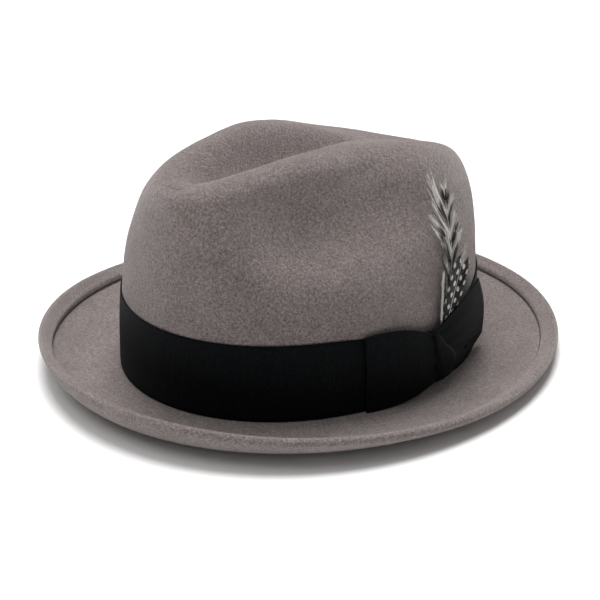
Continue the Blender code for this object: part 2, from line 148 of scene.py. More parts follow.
def turn_at(angle, height):
    angle, height = np.broadcast_arrays(np.asarray(angle, float), height)
    low, high = np.zeros(angle.shape), np.full(angle.shape, 0.95)
    for _ in range(34):
        middle = (low + high) / 2
        under = crown(angle, middle)[..., 2] < height
        low, high = np.where(under, middle, low), np.where(under, high, middle)
    return low


def unit(v):
    return v / np.maximum(np.linalg.norm(v, axis=-1, keepdims=True), 1e-12)


def wall_frame(angle, height):
    """Point, outward normal and upward direction on the crown's wall."""
    angle = np.asarray(angle, float)
    turn = np.maximum(turn_at(angle, height), 1e-4)
    here = crown(angle, turn)
    across = crown(angle + 0.5, turn) - crown(angle - 0.5, turn)
    up = crown(angle, turn * 1.04 + 1e-3) - here
    return here + [0, 0, BREAK_HEIGHT], unit(np.cross(across, up)), unit(up)


def wall(angle, height, offset):
    here, normal, _ = wall_frame(angle, height)
    return here + normal * np.asarray(offset, float)[..., None] + PLACE


def oval(angle):
    phi = np.radians(angle)
    zero = np.zeros_like(phi)
    point = np.stack([HALF_WIDTH * np.sin(phi), -HALF_LENGTH * np.cos(phi), zero], -1)
    return point, unit(np.stack([np.sin(phi) / HALF_WIDTH, -np.cos(phi) / HALF_LENGTH, zero], -1))


def brim_slope(angle, part):
    phi = np.radians(angle)
    edge = EDGE_TURN + EDGE_TURN_FRONT * np.cos(phi) + EDGE_TURN_SIDES * np.sin(phi) ** 2
    edge = edge + EDGE_TURN_RIGHT * np.maximum(-np.sin(phi), 0) ** 4
    return np.radians(BRIM_DIP * (1 - part) + edge * part ** CURL_POWER)


def brim_section(angle, part, steps=60):
    """Distance out, height and slope on the brim's middle surface."""
    phi = np.radians(angle)
    width = BRIM_WIDTH + BRIM_WIDTH_FRONT * np.cos(phi) + BRIM_WIDTH_ENDS * np.cos(2 * phi)
    out, high = np.zeros_like(phi), np.full_like(phi, BREAK_HEIGHT)
    for i in range(steps):
        slope = brim_slope(angle, part * (i + 0.5) / steps)
        out = out + width * part / steps * np.cos(slope)
        high = high + width * part / steps * np.sin(slope)
    wave = np.sin(3 * phi + 0.7) + 0.7 * np.sin(5 * phi + 2.1) + 0.5 * np.sin(8 * phi + 4.0)
    high = high + BRIM_WAVE * wave * max(part - 0.55, 0) ** 1.5
    return out, high, brim_slope(angle, part)



def brim_point(angle, part, offset=0.0):
    out, high, slope = brim_section(angle, part)
    high = np.maximum(high, FELT / 2)
    point, away = oval(angle)
    point = point + away * (out - np.sin(slope) * offset)[..., None]
    point[..., 2] = high + np.cos(slope) * offset
    return point + PLACE


def fold_point(angle, turn):
    out, high, slope = brim_section(angle, 1.0)
    radius = (FELT + CLEARANCE) / 2
    swing = slope - np.pi / 2 + np.pi * turn
    point, away = oval(angle)
    out = out - np.sin(slope) * radius + radius * np.cos(swing)
    point = point + away * out[..., None]
    point[..., 2] = high + np.cos(slope) * radius + radius * np.sin(swing)
    return point + PLACE


PLACE = np.zeros(3)
ends = np.array([0.0, 180.0])
reach = np.max([np.abs(fold_point(ends, t / 40.0)[:, 1]) for t in range(41)], axis=0)
PLACE = np.array([0, (reach[0] - reach[1]) / 2, 0])


# ---- making meshes ----

def mesh_object(name, verts, faces, mat):
    mesh = bpy.data.meshes.new(name)
    mesh.from_pydata([tuple(v) for v in verts], [], [tuple(int(i) for i in f) for f in faces])
    piece = bpy.data.objects.new(name, mesh)
    bpy.context.scene.collection.objects.link(piece)
    mesh.materials.append(mat)
    return piece


def grid_faces(count, across, closed):
    r = np.arange(count - 1)[:, None] * across
    c = np.arange(across if closed else across - 1)[None, :]
    d = (c + 1) % across
    return np.stack([r + c, r + d, r + across + d, r + across + c], -1).reshape(-1, 4)


def grid(name, rows, mat, thickness=0.0, closed=False, uv=None, press=None, weld=False):
    """A piece lofted through rows of points, given an even thickness. uv is a pair of
    arrays in metres, along and across; press scales the thickness point by point."""
    rows = np.asarray(rows, float)
    count, across = rows.shape[:2]
    faces = grid_faces(count, across, closed)
    piece = mesh_object(name, rows.reshape(-1, 3), faces, mat)
    mesh = piece.data
    if uv is not None:
        along, side = (np.broadcast_to(np.asarray(x, float), (count, across)).ravel() for x in uv)
        layer = mesh.uv_layers.new(name="ribbon")
        loops = np.empty(len(mesh.loops), np.int32)
        mesh.loops.foreach_get("vertex_index", loops)
        layer.data.foreach_set("uv", np.stack([along[loops], side[loops]], -1).ravel())
    if press is not None:
        group = piece.vertex_groups.new(name="press")
        values = np.broadcast_to(np.asarray(press, float)[:, None], (count, across)).ravel()
        for i, value in enumerate(values):
            group.add([i], float(value), "REPLACE")
    form = bmesh.new()
    form.from_mesh(mesh)
    if weld:
        bmesh.ops.remove_doubles(form, verts=form.verts, dist=2e-6)
    bmesh.ops.recalc_face_normals(form, faces=form.faces)
    form.to_mesh(mesh)
    form.free()
    mesh.shade_smooth()
    if thickness:
        shell = piece.modifiers.new("thickness", "SOLIDIFY")
        shell.thickness = thickness
        shell.offset = 0
        shell.use_even_offset = True
        if press is not None:
            shell.vertex_group = "press"
            shell.thickness_vertex_group = 0.0
    return piece


def inside_of(rows, offset, name, mat, thickness, closed=True):
    """A closed-round sheet parallel to the crown, moved inwards along its own normals."""
    piece = grid(name, rows, mat, thickness, closed=closed, weld=True)
    mesh = piece.data
    normals = np.array([v.normal for v in mesh.vertices])
    points = np.array([v.co for v in mesh.vertices])
    outwards = 1 if (normals * points).sum() > 0 else -1
    points = points + normals * offset * outwards + PLACE + [0, 0, BREAK_HEIGHT]
    mesh.vertices.foreach_set("co", points.astype(np.float32).ravel())
    mesh.update()
    return piece


def tube(points, radius, sides=6, closed=False):
    """Verts and faces of a thread along points; radius may change along it."""
    points = np.asarray(points, float)
    n = len(points)
    if closed:
        ahead = unit(np.roll(points, -1, 0) - np.roll(points, 1, 0))
    else:
        ahead = unit(np.gradient(points, axis=0))
    side = unit(np.cross(ahead, [0.013, 0.021, 1.0]))
    over = np.cross(side, ahead)
    radius = np.broadcast_to(np.asarray(radius, float), (n,))
    swing = np.arange(sides) * 2 * np.pi / sides
    ring = (side[:, None] * np.cos(swing)[:, None] + over[:, None] * np.sin(swing)[:, None])
    verts = (points[:, None] + ring * radius[:, None, None]).reshape(-1, 3)
    faces = [tuple(f) for f in grid_faces(n, sides, True)]
    if closed:
        last = (n - 1) * sides
        faces += [(last + i, last + (i + 1) % sides, (i + 1) % sides, i) for i in range(sides)]
    else:
        faces += [tuple(range(sides))[::-1], tuple((n - 1) * sides + i for i in range(sides))]
    return verts, faces


def threads(name, lines, radius, mat, closed=False, sides=6):
    """One piece made of many short threads."""
    verts, faces, base = [], [], 0
    for line in lines:
        v, f = tube(line, radius, sides, closed)
        verts.append(v)
        faces += [tuple(i + base for i in face) for face in f]
        base += len(v)
    piece = mesh_object(name, np.concatenate(verts), faces, mat)
    piece.data.shade_smooth()
    return piece


def stand_for(piece, node_name, body="hat"):
    """The piece rides on a body in place of a CAD node, with one material slot."""
    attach(piece, body)
    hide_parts(node_name)


# ---- materials ----

def node(tree, kind, inputs=None, **settings):
    made = tree.nodes.new("ShaderNode" + kind)
    for key, value in settings.items():
        setattr(made, key, value)
    for key, value in (inputs or {}).items():
        socket = made.inputs[key]
        if isinstance(value, bpy.types.NodeSocket):
            tree.links.new(value, socket)
        else:
            socket.default_value = value
    return made


def start_material(name, **shader_values):
    mat = bpy.data.materials.new(name)
    mat.use_nodes = True
    tree = mat.node_tree
    shader = tree.nodes["Principled BSDF"]
    for key, value in shader_values.items():
        shader.inputs[key.replace("_", " ")].default_value = value
    return mat, tree, shader


def math_node(tree, operation, a, b=None, clamp=False):
    values = {0: a} if b is None else {0: a, 1: b}
    return node(tree, "Math", values, operation=operation, use_clamp=clamp).outputs[0]


def noise_of(tree, vector, scale, detail=2.0, roughness=0.5, distortion=0.0):
    return node(tree, "TexNoise", {"Vector": vector, "Scale": scale, "Detail": detail,
                "Roughness": roughness, "Distortion": distortion}).outputs["Fac"]


def ramp(tree, factor, stops):
    made = node(tree, "ValToRGB", {"Fac": factor})
    elements = made.color_ramp.elements
    while len(elements) < len(stops):
        elements.new(0.5)
    for element, (place, colour) in zip(elements, stops):
        element.position = place
        element.color = (*colour, 1)
    return made.outputs["Color"]


def mixed(tree, factor, a, b, blend="MIX"):
    made = node(tree, "Mix", {"Factor": factor}, data_type="RGBA", blend_type=blend)
    for index, value in ((6, a), (7, b)):
        if isinstance(value, bpy.types.NodeSocket):
            tree.links.new(value, made.inputs[index])
        else:
            made.inputs[index].default_value = (*value, 1)
    return made.outputs[2]


def bump(tree, shader, height, distance, strength=1.0, normal=None):
    made = node(tree, "Bump", {"Height": height, "Distance": distance, "Strength": strength})
    if normal is not None:
        tree.links.new(normal, made.inputs["Normal"])
    tree.links.new(made.outputs[0], shader.inputs["Normal"])
    return made.outputs[0]


def place_of(tree):
    return node(tree, "TexCoord").outputs["Object"]


FIBRE_SHARE = 0.55           # of the felt's mottling that is single fibres and not clumps


def felt_material():
    """Warm grey wool: dark and pale fibres matted together, with a soft pile."""
    mat, tree, shader = start_material(
        "wool_felt", Roughness=0.95, Specular_IOR_Level=0.10,
        Sheen_Weight=0.6, Sheen_Roughness=0.40, Sheen_Tint=(1.0, 0.94, 0.92, 1))
    place = place_of(tree)
    fibre = noise_of(tree, place, 1450.0, 3.0, 0.7, 0.3)
    clump = noise_of(tree, place, 700.0, 3.0, 0.7, 0.3)
    cloud = noise_of(tree, place, 55.0, 3.0, 0.6)
    heather = math_node(tree, "ADD", math_node(tree, "MULTIPLY", fibre, FIBRE_SHARE),
                        math_node(tree, "MULTIPLY", clump, 1 - FIBRE_SHARE))
    colour = ramp(tree, heather, [(0.34, (0.096, 0.076, 0.072)), (0.50, (0.264, 0.221, 0.212)),
                                  (0.66, (0.500, 0.432, 0.419))])
    shade = ramp(tree, cloud, [(0.32, (0.86, 0.86, 0.86)), (0.68, (1.0, 1.0, 1.0))])
    tree.links.new(mixed(tree, 1.0, colour, shade, "MULTIPLY"), shader.inputs["Base Color"])
    bump(tree, shader, heather, 0.0022, 0.9)
    return mat


# Sizes of the patterns: the ribbon's ribs and weft, and the spotted feather's dots.
RIB_PITCH = 0.00085
WEFT_PITCH = 0.00035
RIB_WANDER = 0.00012
DOT_PITCH = 0.0062
DOT_ROW = 0.0047
DOT_LENGTH = 0.0030
DOT_WIDTH = 0.0025


def ribbon_material():
    mat, tree, shader = start_material(
        "grosgrain", Roughness=0.60, Specular_IOR_Level=0.07,
        Sheen_Weight=0.02, Sheen_Roughness=0.4, Sheen_Tint=(0.75, 0.85, 1.0, 1))
    uv = node(tree, "UVMap", uv_map="ribbon").outputs[0]
    parts = node(tree, "SeparateXYZ", {0: uv})
    wobble = noise_of(tree, place_of(tree), 260.0, 2.0)
    along = math_node(tree, "ADD", parts.outputs[0], math_node(tree, "MULTIPLY", wobble, RIB_WANDER))
    rib = math_node(tree, "SINE", math_node(tree, "MULTIPLY", along, 2 * math.pi / RIB_PITCH))
    weft = math_node(tree, "SINE", math_node(tree, "MULTIPLY", parts.outputs[1], 2 * math.pi / WEFT_PITCH))
    rib_shading = math_node(tree, "MULTIPLY_ADD", rib, 0.5)
    rib_shading.node.inputs[2].default_value = 0.5
    # painted shade in the ribs' furrows and painted light on their crests: the colour follows each rib
    # from dark to less dark
    colour = ramp(tree, rib_shading, [(0.0, (0.0008, 0.0012, 0.0016)), (1.0, (0.0030, 0.0042, 0.0054))])
    # painted glints: scattered spots where the ribbon's colour is lifted several times and warmed
    glint_spots = noise_of(tree, place_of(tree), 700.0, 4.0, 0.7)
    glint_tint = ramp(tree, glint_spots, [(0.52, (1, 1, 1)), (0.72, (4.5, 3.8, 3.4))])
    colour = mixed(tree, 1.0, colour, glint_tint, "MULTIPLY")
    tree.links.new(colour, shader.inputs["Base Color"])
    height = math_node(tree, "ADD", rib, math_node(tree, "MULTIPLY", weft, 0.16))
    bump(tree, shader, height, 0.00010, 0.8)
    return mat


def thread_material(name, colour):
    mat, tree, shader = start_material(name, Roughness=0.7, Sheen_Weight=0.2)
    twist = noise_of(tree, place_of(tree), 1500.0, 2.0, 0.6)
    dark = tuple(c * 0.6 for c in colour)
    light = tuple(min(c * 1.4, 1) for c in colour)
    tree.links.new(ramp(tree, twist, [(0.35, dark), (0.65, light)]), shader.inputs["Base Color"])
    bump(tree, shader, twist, 0.0001, 0.6)
    return mat


def leather_material():
    mat, tree, shader = start_material("sweatband_leather", Roughness=0.46, Specular_IOR_Level=0.45)
    place = place_of(tree)
    cells = node(tree, "TexVoronoi", {"Vector": place, "Scale": 900.0}, feature="DISTANCE_TO_EDGE")
    crease = math_node(tree, "MINIMUM", cells.outputs["Distance"], 0.14)
    cloud = noise_of(tree, place, 60.0, 4.0, 0.6)
    colour = ramp(tree, cloud, [(0.3, (0.060, 0.034, 0.021)), (0.7, (0.105, 0.062, 0.039))])
    # painted shade in the grain's creases: the leather's colour darkens towards each cell's edge
    crease_shade = ramp(tree, crease, [(0.0, (0.62, 0.62, 0.62)), (0.14, (1, 1, 1))])
    tree.links.new(mixed(tree, 1.0, colour, crease_shade, "MULTIPLY"), shader.inputs["Base Color"])
    tree.links.new(ramp(tree, cloud, [(0.3, (0.40,) * 3), (0.7, (0.54,) * 3)]),
                   shader.inputs["Roughness"])
    bump(tree, shader, crease, 0.0006, 0.8)
    return mat


def satin_material():
    mat, tree, shader = start_material("lining_satin", Roughness=0.34, Specular_IOR_Level=0.5,
                                       Sheen_Weight=0.25, Sheen_Roughness=0.3)
    place = place_of(tree)
    weave = node(tree, "TexWave", {"Vector": place, "Scale": 700.0, "Distortion": 1.5},
                 bands_direction="DIAGONAL").outputs["Fac"]
    pucker = noise_of(tree, place, 90.0, 3.0, 0.6)
    tree.links.new(ramp(tree, weave, [(0, (0.040, 0.036, 0.040)), (1, (0.070, 0.064, 0.070))]),
                   shader.inputs["Base Color"])
    first = bump(tree, shader, pucker, 0.0012, 0.5)
    bump(tree, shader, weave, 0.00008, 0.5, first)
    return mat


def film_material():
    mat, tree, shader = start_material("clear_film", Base_Color=(0.9, 0.9, 0.9, 1), Alpha=0.22)
    haze = noise_of(tree, place_of(tree), 45.0, 3.0, 0.6)
    tree.links.new(ramp(tree, haze, [(0.3, (0.08,) * 3), (0.7, (0.22,) * 3)]),
                   shader.inputs["Roughness"])
    return mat


def label_material():
    mat, tree, shader = start_material("label_cloth", Roughness=0.75)
    place = place_of(tree)
    weave = node(tree, "TexWave", {"Vector": place, "Scale": 900.0}, bands_direction="Z")
    spots = noise_of(tree, place, 300.0, 3.0, 0.6)
    tree.links.new(ramp(tree, spots, [(0.3, (0.60, 0.58, 0.54)), (0.7, (0.72, 0.70, 0.66))]),
                   shader.inputs["Base Color"])
    bump(tree, shader, weave.outputs["Fac"], 0.0001, 0.6)
    return mat


def barred_material():
    """Cream barbs crossed by black chevrons near the shaft, streaked with grey towards
    each barb's tip."""
    mat, tree, shader = start_material("feather_barred", Roughness=0.55, Specular_IOR_Level=0.3,
                                       Sheen_Weight=0.1)
    uv = node(tree, "UVMap", uv_map="barb").outputs[0]
    parts = node(tree, "SeparateXYZ", {0: uv})
    streak = noise_of(tree, place_of(tree), 900.0, 3.0, 0.7)
    wander = math_node(tree, "MULTIPLY", math_node(tree, "SUBTRACT", streak, 0.5), 0.16)
    phase = math_node(tree, "ADD", parts.outputs[0], wander)
    cycle = math_node(tree, "FRACT", phase)
    bars = ramp(tree, cycle, [(0.0, (0.006, 0.005, 0.004)), (0.16, (0.010, 0.008, 0.007)),
                              (0.27, (0.50, 0.46, 0.42)), (0.48, (0.86, 0.82, 0.77)),
                              (0.66, (0.34, 0.30, 0.27)), (0.80, (0.045, 0.037, 0.033)),
                              (1.0, (0.006, 0.005, 0.004))])
    pale = ramp(tree, streak, [(0.34, (0.30, 0.27, 0.25)), (0.50, (0.78, 0.75, 0.71)),
                               (0.66, (0.95, 0.93, 0.90))])
    tip = math_node(tree, "MULTIPLY", math_node(tree, "SUBTRACT", parts.outputs[1], 0.64), 4.0, True)
    colour = mixed(tree, tip, bars, pale)
    tree.links.new(colour, shader.inputs["Base Color"])
    return mat


def spotted_material():
    """Near-black barbs with staggered rows of white oval dots."""
    mat, tree, shader = start_material("feather_dotted", Roughness=0.55, Specular_IOR_Level=0.35)
    uv = node(tree, "UVMap", uv_map="barb").outputs[0]
    parts = node(tree, "SeparateXYZ", {0: uv})
    streak = noise_of(tree, place_of(tree), 1400.0, 3.0, 0.7)
    across = math_node(tree, "DIVIDE", parts.outputs[1], DOT_ROW)
    stagger = math_node(tree, "MULTIPLY", math_node(tree, "FLOOR", across), 0.45)
    along = math_node(tree, "ADD", math_node(tree, "DIVIDE", parts.outputs[0], DOT_PITCH), stagger)
    reaches = []
    for value, size in ((along, DOT_PITCH / DOT_LENGTH), (across, DOT_ROW / DOT_WIDTH)):
        off = math_node(tree, "SUBTRACT", math_node(tree, "FRACT", value), 0.5)
        reaches.append(math_node(tree, "POWER", math_node(tree, "MULTIPLY",
                       math_node(tree, "ABSOLUTE", off), 2 * size), 2.0))
    reach_out = math_node(tree, "ADD", reaches[0], reaches[1])
    dot = ramp(tree, reach_out, [(0.0, (1, 1, 1)), (0.75, (1, 1, 1)), (1.0, (0, 0, 0))])
    dark = ramp(tree, streak, [(0.35, (0.004, 0.003, 0.003)), (0.60, (0.016, 0.013, 0.012)),
                               (0.74, (0.12, 0.105, 0.095))])
    white = ramp(tree, streak, [(0.3, (0.80, 0.77, 0.73)), (0.7, (0.95, 0.94, 0.92))])
    tree.links.new(mixed(tree, dot, dark, white), shader.inputs["Base Color"])
    return mat


def pale_material():
    mat, tree, shader = start_material("feather_pale", Roughness=0.6, Sheen_Weight=0.2)
    streak = noise_of(tree, place_of(tree), 1000.0, 3.0, 0.7)
    tree.links.new(ramp(tree, streak, [(0.3, (0.42, 0.39, 0.36)), (0.7, (0.78, 0.75, 0.71))]),
                   shader.inputs["Base Color"])
    return mat


felt_look = felt_material()
ribbon_look = ribbon_material()
leather_look = leather_material()
satin_look = satin_material()
label_look = label_material()
film_look = film_material()
welt_thread_look = thread_material("welt_thread", (0.045, 0.038, 0.037))
barred_look = barred_material()
spotted_look = spotted_material()
pale_look = pale_material()
black_thread_look = thread_material("black_thread", (0.012, 0.013, 0.016))
brown_thread_look = thread_material("brown_thread", (0.17, 0.115, 0.075))


# ---- the felt body ----

AROUND = 360
WELT_ROWS = 12
FOLD_ROWS = 11
BRIM_ROWS = 38
BEND_STEPS = 6               # of the small bend between brim and wall
WALL_ROWS = 22
SHOULDER_ROWS = 46
BOWL_ROWS = 26
WALL_TOP = 0.050             # height up to which rows are level
WELT_EDGE_SHARE = 0.30       # how much of the welt slopes down to its cut edge
WELT_EDGE_DROP = 0.0010
WELT_EDGE_THINNING = 0.62
CROWDING = 1.7               # rows are closer together near the ridge
ROLL_FROM = 0.052            # the crown's gentle unevenness starts above the band
ROLL_OVER = 0.02
ROLL_REACH = 0.105           # from the hat's middle, so that the brim stays even
LONG_ROLL = (45.0, 0.00045)  # waves per metre and height
SHORT_ROLL = (160.0, 0.00012)
round_hat = np.arange(AROUND) * 360.0 / AROUND


def felt_rows():
    """Rows of points round the hat from the welt's cut edge, over the brim's edge and up the
    crown into the bowl, with each row's share of the felt's thickness."""
    rows, press = [], []
    for i in range(WELT_ROWS):
        share = i / WELT_ROWS
        flat = 1 - smooth(share / WELT_EDGE_SHARE)
        part = 1 - WELT_WIDTH / BRIM_WIDTH * (1 - share)
        rows.append(brim_point(round_hat, part, FELT + CLEARANCE - WELT_EDGE_DROP * flat))
        press.append(1 - WELT_EDGE_THINNING * flat)
    for i in range(FOLD_ROWS):
        rows.append(fold_point(round_hat, 1 - i / (FOLD_ROWS - 1)))
        press.append(1)
    inner = BREAK_RADIUS / BRIM_WIDTH
    for i in range(1, BRIM_ROWS + 1):
        rows.append(brim_point(round_hat, 1 + (inner - 1) * i / BRIM_ROWS))
        press.append(1)
    for i in range(1, BEND_STEPS):
        bend = math.pi / 2 * i / BEND_STEPS
        point, away = oval(round_hat)
        point = point + away * BREAK_RADIUS * (1 - math.sin(bend)) + PLACE
        point[:, 2] = BREAK_HEIGHT + BREAK_RADIUS * (1 - math.cos(bend))
        rows.append(point)
        press.append(1)
    lift = PLACE + [0, 0, BREAK_HEIGHT]
    for height in np.linspace(BREAK_RADIUS, WALL_TOP, WALL_ROWS):
        rows.append(wall(round_hat, height, np.zeros(AROUND)))
        press.append(1)
    low = turn_at(round_hat, WALL_TOP)
    for i in range(1, SHOULDER_ROWS + 1):
        share = 1 - (1 - i / SHOULDER_ROWS) ** CROWDING
        rows.append(crown(round_hat, low + (1 - low) * share) + lift)
        press.append(1)
    for i in range(1, BOWL_ROWS + 1):
        rows.append(crown(round_hat, 1.0, i / BOWL_ROWS) + lift)
        press.append(1)
    return rows, press


def roll(point, wave):
    pitch, height = wave
    return noise.noise(Vector(point) * pitch) * height


def make_felt():
    """Crown and brim in one piece, with a slight unevenness pressed into the crown."""
    rows, press = felt_rows()
    felt = grid("felt_body_fine", rows, felt_look, FELT, closed=True, press=press, weld=True)
    mesh = felt.data
    points = np.array([v.co for v in mesh.vertices])
    normals = np.array([v.normal for v in mesh.vertices])
    soft = smooth((points[:, 2] - ROLL_FROM) / ROLL_OVER)
    soft = soft * (np.hypot(points[:, 0], points[:, 1]) < ROLL_REACH)
    rolls = np.array([roll(p, LONG_ROLL) + roll(p, SHORT_ROLL) for p in points])
    points = points + normals * (rolls * soft)[:, None]
    mesh.vertices.foreach_set("co", points.astype(np.float32).ravel())
    mesh.update()
    stand_for(felt, "felt_body")


# ---- stitching on the welt ----

STITCH_COUNT = 300
STITCH_PLACE = 1 - (WELT_WIDTH + 0.0007) / BRIM_WIDTH
STITCH_POINTS = 7
STITCH_RISE = 0.00042        # of its middle over the felt
STITCH_SUNK = 0.0001         # of its ends
STITCH_RADIUS = 0.00024


def make_welt_stitching():
    """Lockstitches in the groove along the welt's cut edge, each dipping into the felt."""
    stitches = []
    step = 360 / STITCH_COUNT
    for i in range(STITCH_COUNT):
        around = i * step + np.linspace(0.10, 0.90, STITCH_POINTS) * step
        rise = FELT / 2 - STITCH_SUNK + STITCH_RISE * np.sin(np.linspace(0, math.pi, STITCH_POINTS))
        line = [brim_point(np.array([a]), STITCH_PLACE, r)[0] for a, r in zip(around, rise)]
        stitches.append(line)
    piece = threads("welt_stitches", stitches, STITCH_RADIUS, welt_thread_look, sides=5)
    stand_for(piece, "welt_stitching")


# ---- ribbon band and bow ----

RIBBON_WIDTH = 0.042
BAND_START = 97.9            # the band's ends meet behind the knot
BAND_END = 97.1 + 360
BAND_MEAN_RADIUS = 0.0945    # turns an angle into a length along the ribbon
BAND_LIFT = 0.0050           # how far the knot pulls the band's lower edge up
BAND_LIFT_SPREAD = 7.0
BAND_GATHER = 0.0120         # and its upper edge down
BAND_GATHER_SPREAD = 20.0
BAND_CREST = 0.00016         # how far its middle stands off the felt
BAND_RIPPLE = 0.00010

FRONT_LEAF_START = BOW_ANGLE - 0.8
FRONT_LEAF_FOLD = 75.2
LEAF_FOLD_STEPS = 6
LEAF_FOLD_REACH = 0.022      # of the rounded fold, as a share of the leaf
LEAF_BELLY = 0.0007
LEAF_PLEAT = 0.00045
LEAF_PLEATS = 3.2

def spline(stations, values, x):
    """A smooth curve through values at stations, for an array x."""
    stations, values = np.asarray(stations, float), np.asarray(values, float)
    slopes = np.gradient(values, stations)
    x = np.clip(np.asarray(x, float), stations[0], stations[-1])
    i = np.clip(np.searchsorted(stations, x, side="right") - 1, 0, len(stations) - 2)
    width = stations[i + 1] - stations[i]
    t = (x - stations[i]) / width
    return ((2 * t ** 3 - 3 * t ** 2 + 1) * values[i] + (t ** 3 - 2 * t ** 2 + t) * width * slopes[i]
            + (3 * t ** 2 - 2 * t ** 3) * values[i + 1] + (t ** 3 - t ** 2) * width * slopes[i + 1])


def pinch(angle, spread):
    """How strongly the bow's knot gathers the ribbon at an angle, 0 to 1."""
    return np.exp(-((angle - BOW_ANGLE) / spread) ** 2)


def finish_ribbon(piece, node_name):
    stand_for(piece, node_name)


def make_band():
    """The band goes once round the crown, pinched where the knot holds it."""
    angle = np.linspace(BAND_START, BAND_END, 421)
    near = (angle + 180) % 360 - 180
    rows, side = [], []
    for share in np.linspace(0, 1, 15):
        low = BAND_BOTTOM + BAND_LIFT * pinch(near, BAND_LIFT_SPREAD)
        high = BAND_TOP - BAND_GATHER * pinch(near, BAND_GATHER_SPREAD)
        crest = BAND_CREST * math.sin(math.pi * share) ** 0.5
        ripple = BAND_RIPPLE * np.sin(np.radians(angle) * 7 + 1.3) * share ** 3
        rows.append(wall(angle, low + (high - low) * share, BAND_OFFSET + crest + ripple))
        side.append(np.full(angle.shape, RIBBON_WIDTH * share))
    along = np.radians(angle) * BAND_MEAN_RADIUS
    band = grid("ribbon_band", rows, ribbon_look, RIBBON, uv=(along, np.array(side)))
    finish_ribbon(band, "hat_band")


def make_front_leaf():
    """A flat loop of ribbon, folded at its front end and gathered under the knot."""
    stations = (0, 0.11, 0.43, 0.86, 1)
    path = [(p, "back") for p in np.linspace(0, 1, 26)]
    path += [(1 + LEAF_FOLD_REACH * math.sin(math.pi * i / LEAF_FOLD_STEPS), i / LEAF_FOLD_STEPS)
             for i in range(1, LEAF_FOLD_STEPS)]
    path += [(p, "front") for p in np.linspace(1, 0, 40)]
    rows, along, side = [], [], []
    share = np.linspace(0, 1, 22)
    run = 0.0
    for part, layer in path:
        p = np.full(share.shape, min(part, 1.0))
        low = spline(stations, (0.0068, 0.0063, 0.0032, 0.0012, 0.0012), p)
        high = spline(stations, (0.0330, 0.0345, 0.0404, 0.0430, 0.0430), p)
        behind = spline((0, 0.45, 0.8, 1), (0.0050, 0.0044, 0.0029, 0.0028), p)
        front = spline((0, 0.14, 0.45, 0.8, 1), (0.0060, 0.0064, 0.0063, 0.0048, 0.0040), p)
        belly = LEAF_BELLY * np.sin(np.pi * share) * np.sin(np.pi * p)
        pleat = LEAF_PLEAT * np.cos(2 * np.pi * LEAF_PLEATS * (share - 0.46)) * (1 - p) ** 2.2
        if layer == "back":
            offset = behind
        elif layer == "front":
            offset = front + belly + pleat
        else:
            offset = behind + (front - behind) * (1 - math.cos(math.pi * layer)) / 2
        angle = FRONT_LEAF_START + (FRONT_LEAF_FOLD - FRONT_LEAF_START) * part
        rows.append(wall(np.full(share.shape, angle), low + (high - low) * share, offset))
        run += 0.0 if len(rows) == 1 else float(np.linalg.norm(rows[-1][11] - rows[-2][11]))
        along.append(np.full(share.shape, run))
        side.append(RIBBON_WIDTH * share)
    leaf = grid("bow_loop_front", rows, ribbon_look, RIBBON, uv=(np.array(along), np.array(side)))
    finish_ribbon(leaf, "bow_front_leaf")


# Corners of the rear wing, each an angle, a height and a distance from the felt's middle.
TAIL_PINCH = (97.6, 0.0346, 0.0062)
TAIL_TIP = (122.8, 0.0494, 0.0078)
TAIL_CORNER = (134.6, 0.0072, 0.0056)
TAIL_KNOT_END = (107.4, 0.0166, 0.0068)
TAIL_FOOT = (103.4, 0.0036, 0.0042)
TAIL_HEEL = (133.4, 0.0066, 0.0042)
TAIL_OUT = (1.0, 0.35, 0.12)  # away from the crown there
TAIL_WIDTH = 0.040
TAIL_SAG = 0.0022


def at(spot):
    angle, height, offset = spot
    return wall(np.array([angle]), height, np.array([offset]))[0]


def make_rear_leaf():
    """The bow's rear wing: a ribbon laid across the band so that its ribs run up to a free
    point, over a back layer that lies on the band."""
    a, b, c, d, e, f = (at(s) for s in (TAIL_PINCH, TAIL_TIP, TAIL_CORNER, TAIL_KNOT_END,
                                        TAIL_FOOT, TAIL_HEEL))
    out = unit(np.array(TAIL_OUT))
    share = np.linspace(0, 1, 30)
    rows, along, side = [], [], []
    run = 0.0
    path = [("front", t) for t in np.linspace(0, 1, 22)]
    path += [("under", t) for t in np.linspace(0.08, 1, 12)]
    for kind, t in path:
        if kind == "front":
            left, right = a + (d - a) * t, b + (c - b) * t
            right = right + (out * 0.0008 + unit(b - a) * 0.0024) * math.sin(math.pi * t)
            puff = 0.0016 * math.sin(math.pi * t) * np.sin(np.pi * np.minimum(share * 0.9 + 0.1, 1))
            puff = puff + 0.0011 * np.sin(np.pi * share) * (1 - t) ** 2
            puff = puff + 0.00030 * np.cos(2 * np.pi * (t * 3.1 + 0.1)) * (1 - share) ** 1.5
        else:
            left, right = d + (e - d) * t, c + (f - c) * t
            puff = 0.0014 * math.sin(math.pi * t) * np.sin(np.pi * share) ** 0.5
        row = left + (right - left) * share[:, None] + out * puff[:, None]
        sag = TAIL_SAG * np.sin(np.pi * share) * (t if kind == "under" else t ** 3)
        row[:, 2] -= sag * (1.0 if kind == "under" else 0.45)
        rows.append(row)
        run += 0.0 if len(rows) == 1 else float(np.linalg.norm(rows[-1][12] - rows[-2][12]))
        along.append(np.full(share.shape, run))
        side.append(TAIL_WIDTH * share)
    leaf = grid("bow_wing_rear", rows, ribbon_look, RIBBON, uv=(np.array(along), np.array(side)))
    finish_ribbon(leaf, "bow_rear_leaf")


KNOT_LOW = 0.0050
KNOT_TALL = 0.0306
KNOT_OFFSET = 0.0076
KNOT_HALF_WRAP = 0.006
KNOT_CURL = 0.0030           # how far its ends turn in
KNOT_BULGE = 0.0006
KNOT_RIM = 0.0009            # how far its long edges turn in


